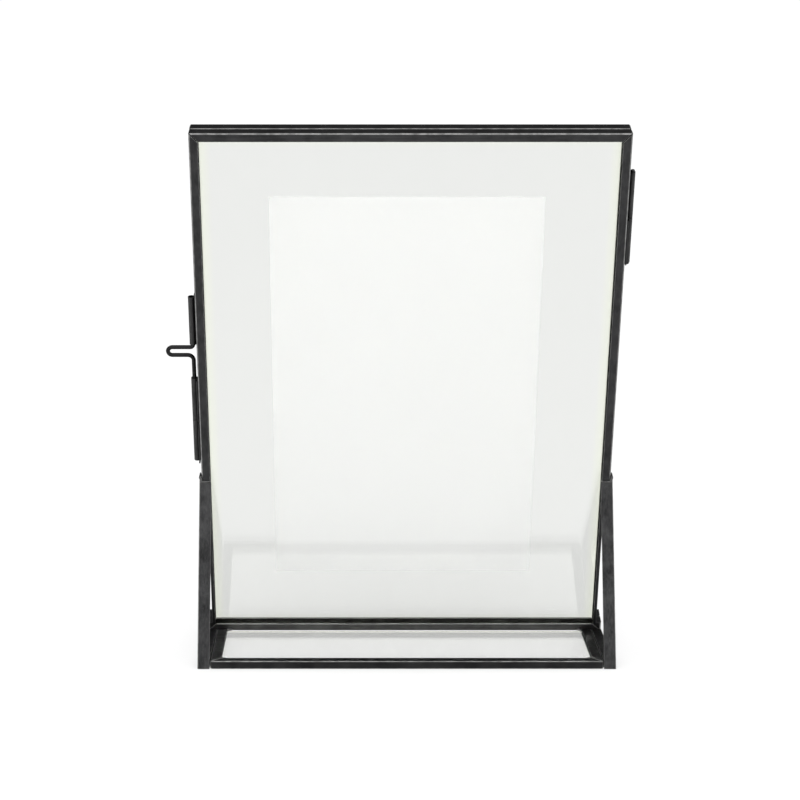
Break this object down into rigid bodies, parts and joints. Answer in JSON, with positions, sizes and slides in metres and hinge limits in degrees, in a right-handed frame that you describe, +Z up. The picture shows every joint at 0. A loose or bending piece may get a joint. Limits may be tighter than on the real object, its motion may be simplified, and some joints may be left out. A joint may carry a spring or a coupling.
{
  "type": "floating picture frame",
  "caption": "Leaning tabletop frame that holds a card between two glazed leaves on a metal stand, with a hinged rear leaf locked by a sliding wire pin.",
  "frame": {"origin": "on the floor under the middle of the object's box", "axes": "+Z up; the stand is on the -Y side, and the side that a viewer looks at faces +Y; +X is the hinge side"},
  "size_m": [0.1746, 0.0702, 0.209],
  "materials": {
    "rim_metal": "satin black patina",
    "stand_metal": "satin black patina",
    "barrel_metal": "satin black patina",
    "latch_wire": "satin black",
    "pane_glass": "clear polished",
    "card": "matt white paper"
  },
  "bodies": {
    "stand": {"fixed_leaf_top_rim": "rim_metal", "fixed_leaf_bottom_rim": "rim_metal", "fixed_leaf_left_rim": "rim_metal", "fixed_leaf_right_rim": "rim_metal", "left_leg": "stand_metal", "right_leg": "stand_metal", "left_foot_rail": "stand_metal", "right_foot_rail": "stand_metal", "base_front_channel": "stand_metal", "base_left_channel": "stand_metal", "base_right_channel": "stand_metal", "hinge_fixed_knuckle": "barrel_metal", "hinge_pin": "barrel_metal", "latch_middle_knuckle": "barrel_metal", "latch_lower_knuckle": "barrel_metal", "fixed_leaf_pane": "pane_glass", "base_pane": "pane_glass", "insert_card": "card"},
    "door": {"door_leaf_top_rim": "rim_metal", "door_leaf_bottom_rim": "rim_metal", "door_leaf_left_rim": "rim_metal", "door_leaf_right_rim": "rim_metal", "door_leaf_pane": "pane_glass", "hinge_door_knuckle": "barrel_metal", "latch_door_knuckle": "barrel_metal"},
    "latch_pin": {"latch_pin": "latch_wire"}
  },
  "joints": [
    {"name": "door_hinge", "type": "hinge", "parent": "stand", "child": "door", "pos_m": [0.0862, -0.01586, 0.15878], "axis": [0, 0.2857, -0.9583], "range_deg": [0, 180]},
    {"name": "latch_slide", "type": "slide", "parent": "stand", "child": "latch_pin", "axis": [0, 0.2857, -0.9583], "range_m": [0, 0.0072]}
  ]
}
